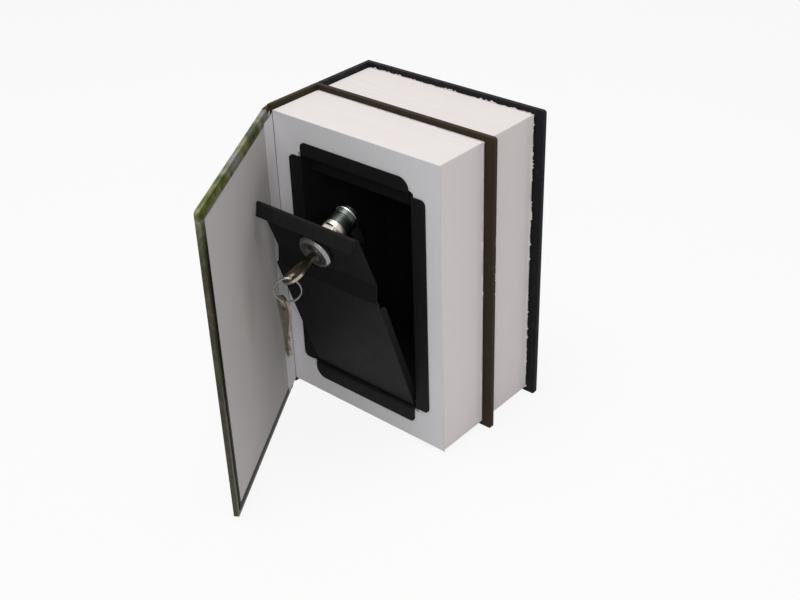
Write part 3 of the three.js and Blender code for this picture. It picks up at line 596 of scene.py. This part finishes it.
def joint_strip(name, line, thickness, low, high, material, start, end):
    """
    A strip along a line seen from above, cut into rows.
    The start and end are not used.
    """
    def build(made):
        count = 24
        rows = []
        points = [Vector((x, y, 0)) for x, y in line]
        for index, point in enumerate(points):
            before = points[max(index - 1, 0)]
            after = points[min(index + 1, len(points) - 1)]
            run = (after - before).normalized()
            side = Vector((-run.y, run.x, 0)) * thickness / 2
            column = []
            for k in range(count + 1):
                at = point + Vector((0, 0, low + (high - low) * k / count))
                column.append([made.verts.new((at + side * s) * MM) for s in (-1, 1)])
            rows.append(column)
        for a, b in zip(rows, rows[1:]):
            for k in range(count):
                for s in (0, 1):
                    quad = (a[k][s], b[k][s], b[k + 1][s], a[k + 1][s])
                    made.faces.new(quad if s else quad[::-1])
            for k in (0, count):
                quad = (a[k][0], a[k][1], b[k][1], b[k][0])
                made.faces.new(quad if k else quad[::-1])
        for column, flip in ((rows[0], False), (rows[-1], True)):
            for k in range(count):
                quad = (column[k][0], column[k + 1][0], column[k + 1][1], column[k][1])
                made.faces.new(quad[::-1] if flip else quad)
    piece = from_bmesh(name, build, material, 60)
    start, end = (tuple(Vector((*point, COVER_HEIGHT / 2)) * MM) for point in (start, end))
    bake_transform(piece)


def curve_points(points, steps=6):
    """A smooth line through a few points."""
    result = []
    ends = [points[0], *points, points[-1]]
    for k in range(1, len(ends) - 2):
        p0, p1, p2, p3 = (Vector((*p, 0)) for p in ends[k - 1:k + 3])
        for s in range(steps):
            t = s / steps
            result.append(0.5 * ((2 * p1) + (p2 - p0) * t + (2 * p0 - 5 * p1 + 4 * p2 - p3) * t * t
                                 + (3 * p1 - p0 - 3 * p2 + p3) * t ** 3))
    result.append(Vector((*points[-1], 0)))
    return [(p.x, p.y) for p in result]


cloth_line = curve_points([
    (PAGE_LEFT - 3.95, FRONT_PAGES[0] + 0.3), (HINGE[0] - 0.85, HINGE[1] + 0.6),
    along_cover(0.0, 0.0), along_cover(1.6, -0.35),
])
joint_strip("joint_cloth", cloth_line, 0.3, 0.3, COVER_HEIGHT - 0.3, OLIVE,
            (HINGE[0] - 0.4, HINGE[1] + 0.7), along_cover(1.2, 0.0))

paper_line = curve_points([
    (PAGE_LEFT - 0.45, FRONT_PAGES[0] + 0.8), (PAGE_LEFT - 0.68, FRONT_PAGES[0] - 0.2),
    along_cover(0.0, 2.6), along_cover(1.2, 2.95), along_cover(2.5, 3.0), along_cover(6, 2.95),
    along_cover(10.5, 2.75), along_cover(15, 2.5), along_cover(19.5, 2.2),
])
# The joint strip is the endpaper's paper, made lighter as painted light
LIT_JOINT_PAPER = endpaper("joint_paper_painted_light", (0.83, 0.815, 0.82), (0.79, 0.775, 0.78))
joint_strip("joint_endpaper", paper_line, 0.16, PAGE_BOTTOM, PAGE_TOP - 2.2, LIT_JOINT_PAPER,
            (PAGE_LEFT - 0.5, FRONT_PAGES[0] - 0.4), along_cover(1.6, 2.9))

lining_line = curve_points([
    (PAGE_LEFT - 0.5, FRONT_PAGES[0] + 1.0), (PAGE_LEFT - 0.75, FRONT_PAGES[0] - 0.3),
    along_cover(-0.3, 1.15), along_cover(1.2, 0.85), along_cover(3.4, 1.2), along_cover(6.9, 1.84),
])
joint_strip("joint_lining", lining_line, 0.2, 0.2, COVER_HEIGHT - 0.2, OLIVE,
            (PAGE_LEFT - 0.8, FRONT_PAGES[0] - 0.4), along_cover(1.2, 0.9))


# Printed paper turned in round the cover's edges, as far as the pastedown leaves it in sight:
# for each side the reach along the cover, from and to, and the height, from and to
TURN_IN = ((158.4, 161.4, 3.7, 236.3), (7.0, 158.4, 232.2, 236.3), (7.0, 158.4, 3.7, 7.8))


def turn_in(made):
    under, over = 1.75, 2.2
    for near, far, low, high in TURN_IN:
        corners = [along_cover(*corner) for corner in (
            (near, under), (far, under), (far, over), (near, over))]
        skin(made, [[made.verts.new((x * MM, y * MM, z * MM)) for x, y in corners] for z in (low, high)])


border = from_bmesh("cover_turn_in", turn_in, SHADED_TURN_IN)
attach(border, "cover")


def quarter_cloth():
    """Spine cloth carried on to the cover: round the board's outside, head and tail, and turned in."""
    # Along the cover: reach, outer and inner face
    stations = [(0.5, -0.04, 0.44), (3.6, -0.86, 1.08), (6.8, -1.7, 1.7), (8.6, -1.7, 1.7)]
    over = 0.11  # how far it stands proud of the board
    sunk = 0.02
    turned = 12
    top = COVER_HEIGHT
    # Each slab's near and far face from the outer and inner one, and its height, from and to
    slabs = (
        (lambda o, i: (o - over, o + sunk), (-over, top + over)),
        (lambda o, i: (o - over, i + over), (top - sunk, top + over)),
        (lambda o, i: (o - over, i + over), (-over, sunk)),
        (lambda o, i: (i - sunk, i + over), (top - turned, top + over)),
        (lambda o, i: (i - sunk, i + over), (-over, turned)),
    )

    def build(made):
        for depth, (low, high) in slabs:
            rows = []
            for reach, outer, inner in stations:
                near, far = depth(outer, inner)
                corners = [along_cover(reach, near), along_cover(reach, far)]
                rows.append([made.verts.new((x * MM, y * MM, z * MM)) for (x, y), z in (
                    (corners[0], low), (corners[1], low), (corners[1], high), (corners[0], high))])
            skin(made, rows)
    cloth = from_bmesh("quarter_cloth", build, OLIVE)
    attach(cloth, "cover")


quarter_cloth()


# Lock, keys and ring, in the frames that the part's source gives them

def turn(degrees, axis):
    return Matrix.Rotation(math.radians(degrees), 4, axis)


def shift(x, y, z):
    return Matrix.Translation((x * MM, y * MM, z * MM))


LOCK = shift(-2.25, -46, 36.3) @ turn(18.4, "X") @ shift(-1, 1.572, 135.7) @ turn(3, "X")
KEY = LOCK @ turn(-26.5, "Y") @ shift(0, -7.8, 0) @ turn(90, "X")
RING = shift(-5.661, -116.123, 145.896) @ turn(40.5, "Z")
SPARE = shift(-8.132, -118.233, 113.969) @ turn(-21, "Z")


def lathe(made, profile, steps, shape):
    """A closed profile of (radius, along Y), turned about Y. The shape function may move each point."""
    rings = []
    for k in range(steps):
        angle = 2 * math.pi * k / steps
        ring = []
        for radius, along in profile:
            point = Vector((radius * math.cos(angle), along, radius * math.sin(angle)))
            ring.append(made.verts.new(shape(point) * MM))
        rings.append(ring)
    for a, b in zip(rings, rings[1:] + rings[:1]):
        for k in range(len(profile)):
            n = (k + 1) % len(profile)
            made.faces.new((a[k], a[n], b[n], b[k]))


def rounded(profile, radius):
    """Takes the sharpness off each corner of a closed profile."""
    result = []
    count = len(profile)
    for k, point in enumerate(profile):
        here = Vector(point)
        before = Vector(profile[k - 1]) - here
        after = Vector(profile[(k + 1) % count]) - here
        reach = min(radius, before.length / 3, after.length / 3)
        first = here + before.normalized() * reach
        last = here + after.normalized() * reach
        result += [tuple(first), tuple(here.lerp((first + last) / 2, 0.5)), tuple(last)]
    return result


# The lock body's closed profile, as (radius, along the lock's axis)
BORE = 6.2
BARREL = 9.2
FLATS = 7.8
THREAD_END = 17.4
THREAD = [(BARREL - 0.42 * (k % 2), 1.4 + 0.45 * k) for k in range(35)]
FRONT_FACE = [
    (BORE, 8.0), (BORE, -4.4), (6.6, -4.75), (7.1, -4.75), (7.15, -4.15), (7.85, -4.15), (7.9, -4.85),
    (8.9, -4.95), (8.95, -4.3), (9.7, -4.3), (9.75, -5.0), (11.1, -5.2), (11.9, -5.0), (13.5, -2.8),
    (13.5, -0.22), (BARREL, -0.22), (BARREL, 0.4),
]
REAR_END = [
    (BARREL, 17.45), (BARREL, 21.0), (9.0, 21.2), (9.0, 27.8), (8.3, 28.0), (8.3, 28.9), (BARREL, 29.1),
    (BARREL, 32.7), (9.75, 32.9), (9.75, 33.9), (9.3, 34.5), (7.4, 34.5), (7.2, 34.1), (BORE, 34.1),
]


def flatten(point):
    """The two flats along the thread."""
    if 0 < point.y < THREAD_END:
        point.z = max(-FLATS, min(FLATS, point.z))
    return point


barrel = from_bmesh("lock_body_detailed", lambda made: lathe(
    made, rounded(FRONT_FACE, 0.14) + THREAD + rounded(REAR_END, 0.12), 128, flatten), NICKEL, 35)
# Each zone of the lock body, by its place along the axis and its radius, has its own finish, and the groove
# in its face is dark with painted shade
LOCK_FINISHES = (NICKEL, SATIN, DULL, GROOVE_SHADE, BEIGE)
for finish in LOCK_FINISHES[1:]:
    barrel.data.materials.append(finish)
for face in barrel.data.polygons:
    centre = face.center / MM
    radius = math.hypot(centre.x, centre.z)
    finish = NICKEL
    # The groove gets painted shade
    if -4.4 < centre.y < -4.1 and 6.9 < radius < 10:
        finish = GROOVE_SHADE
    elif centre.y < -4.1 and radius < 11.3:
        finish = SATIN
    elif 21.1 < centre.y < 32.8:
        finish = DULL
    elif centre.y > 0 and radius > 6.5:
        finish = BEIGE
    face.material_index = LOCK_FINISHES.index(finish)
barrel.matrix_world = LOCK
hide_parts("lock_barrel")
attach(barrel, "door")


def apply_modifiers(obj):
    """Works the object's modifiers into its mesh."""
    graph = bpy.context.evaluated_depsgraph_get()
    mesh = bpy.data.meshes.new_from_object(obj.evaluated_get(graph))
    obj.modifiers.clear()
    obj.data = mesh


def cut_away(obj, cutters):
    for cutter in cutters:
        made = obj.modifiers.new("cut", "BOOLEAN")
        made.operation = "DIFFERENCE"
        made.solver = "EXACT"
        made.object = cutter
    bpy.context.view_layer.update()
    apply_modifiers(obj)
    for cutter in cutters:
        mesh = cutter.data
        bpy.data.objects.remove(cutter)
        bpy.data.meshes.remove(mesh)


def slab(made, outline, low, high):
    """An outline in X and Z between two places along Y."""
    skin(made, [[made.verts.new((x * MM, y * MM, z * MM)) for x, z in outline] for y in (low, high)])


def oval(middle, half_width, half_height, steps=32, power=2.0):
    """An ellipse about a height, or with a higher power a rounded rectangle."""
    points = []
    for k in range(steps):
        angle = 2 * math.pi * k / steps
        c, s = math.cos(angle), math.sin(angle)
        points.append((half_width * math.copysign(abs(c) ** (2 / power), c),
                       middle + half_height * math.copysign(abs(s) ** (2 / power), s)))
    return points


def bezier(a, b, c, d, steps=14):
    """A cubic curve's points, without the first."""
    points = []
    for k in range(1, steps + 1):
        t = k / steps
        weights = ((1 - t) ** 3, 3 * t * (1 - t) ** 2, 3 * t * t * (1 - t), t ** 3)
        points.append(tuple(sum(w * p[axis] for w, p in zip(weights, (a, b, c, d))) for axis in (0, 1)))
    return points


CUTS = (2.2, 1.4, 1.9, 1.1)  # depths from the shoulder to the tip
CUT_PITCH = 4
KEY_HALF = 1.0  # half the key's thickness


def key_outline():
    """Blade down and bow up, from the shoulder at zero."""
    blade, half, shoulder = 22.3, 4.2, 5.6
    bow, widest, crown, top = 10.5, 17.5, 23.5, 26.5
    points = [(-half, 0), (-half, 3 - blade), (-1.2, -blade), (1.2, -blade), (half, 3 - blade)]
    for index, depth in reversed(list(enumerate(CUTS))):
        middle = -CUT_PITCH * (index + 1)
        points += [(half, middle - 2), (half - depth, middle - 0.5), (half - depth, middle + 0.5)]
    points += [(half, 0), (shoulder - 0.5, 0), (shoulder, 0.6)]
    points += [(bow - 0.35, widest - 2), (bow, widest)]
    points += bezier((bow, widest), (bow, crown), (bow / 2, top), (0, top))
    points += bezier((0, top), (-bow / 2, top), (-bow, crown), (-bow, widest))
    points += [(0.35 - bow, widest - 2), (-shoulder, 0.6), (0.5 - shoulder, 0)]
    return points


def key_piece(name, replaced, body, place, metal, edge):
    """A key with a hole and two pressed fields in its bow and a groove along each side of its blade."""
    past = 3  # clear of the key's faces
    key = from_bmesh(name, lambda made: slab(made, key_outline(), -KEY_HALF, KEY_HALF), metal)
    cutters = [from_bmesh("hole", lambda made: slab(made, oval(20.6, 4.2, 4.2), -past, past), metal)]
    for side in (-1, 1):
        near, far = sorted((side * (KEY_HALF - 0.28), side * past))
        cutters.append(from_bmesh(
            "field", lambda made: slab(made, oval(9.4, 5.0, 5.2, 40, 2.8), near, far), metal))
        near, far = sorted((side * (KEY_HALF - 0.55), side * past))
        groove = [(x - 1.3 * side, z) for x, z in (
            (-0.75, -23), (0.75, -23), (0.75, 1.6), (0, 2.6), (-0.75, 1.6))]
        cutters.append(from_bmesh("groove", lambda made: slab(made, groove, near, far), metal))
    cut_away(key, cutters)
    dress(key, metal, 0.2, 2, 35)
    # The edge faces take the second material; on the key in the lock it is a painted highlight
    key.data.materials.append(edge)
    for face in key.data.polygons:
        on_edge = abs(face.normal.y) < 0.5 and face.area > 0 and abs(face.center.y) < 0.4 * MM
        face.material_index = 1 if on_edge else 0
    key.matrix_world = place
    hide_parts(replaced)
    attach(key, body)


key_piece("lock_key_detailed", "key_in_lock", "plug", KEY, SHADED_KEY_METAL, KEY_EDGE_HIGHLIGHT)
key_piece("spare_key_detailed", "spare_key", "spare", SPARE, SPARE_METAL, SPARE_EDGE)


def split_ring():
    """Two close turns of flattened wire, the ends cut square."""
    turns, steps, radius, pitch = 2, 72, 9.5, 1.35
    section = oval(0, 0.42, 0.46, 12, 2.5)

    def build(made):
        rows = []
        total = turns * steps
        for k in range(total + 1):
            share = k / total
            angle = share * turns * 2 * math.pi
            along = (share - 0.5) * turns * pitch
            rows.append([made.verts.new(Vector(((radius + a) * math.cos(angle), along + b,
                                                (radius + a) * math.sin(angle))) * MM) for a, b in section])
        skin(made, rows)
    ring = from_bmesh("split_ring_detailed", build, WIRE, 50)
    ring.matrix_world = RING
    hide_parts("key_ring")
    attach(ring, "ring")


split_ring()


# Blind rules on the two spines, thin ridges under the cloth

def spine_rule(name, y0, y1, z, material):
    """One ridge across a spine, at a height, between two depths."""
    x = PAGE_LEFT - 4.0
    section = [(-0.22, -0.9), (-0.22, 0.9), (-0.1, 1.05), (0.1, 1.05), (0.1, -1.05), (-0.1, -1.05)]

    def build(made):
        skin(made, [[made.verts.new(((x + a) * MM, y * MM, (z + b) * MM)) for a, b in section]
                    for y in (y0, y1)])
    rule = from_bmesh(name, build, material)
    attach(rule, "safe")


RULE_HEIGHTS = (14, 18.5, 60, 180, 221.5, 226)
for index, z in enumerate(RULE_HEIGHTS):
    spine_rule(f"front_spine_rule_{index}", -44.5, -1.5, z, OLIVE)
    spine_rule(f"rear_spine_rule_{index}", 5.5, 55.5, z, BLACK)


# Camera, its place and axes solved from the photograph

right = Vector((0.7597, 0.6497, -0.0289))
forward = Vector((-0.5643, 0.6363, -0.5260)).normalized()
up = right.cross(forward).normalized()
right = forward.cross(up).normalized()
camera_data = bpy.data.cameras.new("camera")
camera = bpy.data.objects.new("camera", camera_data)
bpy.context.scene.collection.objects.link(camera)
place = Vector((517.59, -591.42, 569.51)) * MM
camera.matrix_world = Matrix((
    (right.x, up.x, -forward.x, place.x),
    (right.y, up.y, -forward.y, place.y),
    (right.z, up.z, -forward.z, place.z),
    (0, 0, 0, 1),
))
SENSOR = 36  # its width in millimetres
camera_data.sensor_width = SENSOR
camera_data.lens = 1207.17 / 800 * SENSOR  # focal length in pixels over the photo's width
camera_data.clip_start = 0.01
bpy.context.scene.camera = camera


# Stage and light

def stage_plane():
    def build(made):
        size = 6.0
        corners = ((-size, -size), (size, -size), (size, size), (-size, size))
        made.faces.new([made.verts.new((x, y, 0)) for x, y in corners])
    plane = from_bmesh("floor", build, floor_material())
    plane.location.z = -0.3 * MM  # clear of the part's underside


def lamp(name, place, target, size, power):
    data = bpy.data.lights.new(name, "AREA")
    data.shape = "DISK"
    data.size = size
    data.energy = power
    obj = bpy.data.objects.new(name, data)
    bpy.context.scene.collection.objects.link(obj)
    obj.location = place
    obj.rotation_euler = (Vector(target) - Vector(place)).to_track_quat("-Z", "Y").to_euler()


def world_light():
    """Even light, weaker on the object than the white that the camera, glass and metal see."""
    world = bpy.data.worlds.new("studio")
    bpy.context.scene.world = world
    world.use_nodes = True
    tree = world.node_tree
    background = tree.nodes["Background"]
    background.inputs["Color"].default_value = (*LIGHT, 1)
    path = tree.nodes.new("ShaderNodeLightPath")
    seen = path.outputs["Is Camera Ray"]
    for socket in ("Is Glossy Ray", "Is Transmission Ray"):
        most = tree.nodes.new("ShaderNodeMath")
        most.operation = "MAXIMUM"
        tree.links.new(seen, most.inputs[0])
        tree.links.new(path.outputs[socket], most.inputs[1])
        seen = most.outputs[0]
    strength = tree.nodes.new("ShaderNodeMapRange")
    strength.inputs["To Min"].default_value = 0.33
    strength.inputs["To Max"].default_value = 1.0
    tree.links.new(seen, strength.inputs["Value"])
    tree.links.new(strength.outputs["Result"], background.inputs["Strength"])


stage_plane()
world_light()
lamp("key_above", (-0.1, -0.2, 1.7), (0, 0, 0.1), 1.1, 15.2)
lamp("front", (1.15, -1.17, 1.1), (-0.02, -0.05, 0.12), 0.7, 8.6)

bpy.context.scene.view_settings.view_transform = "Standard"
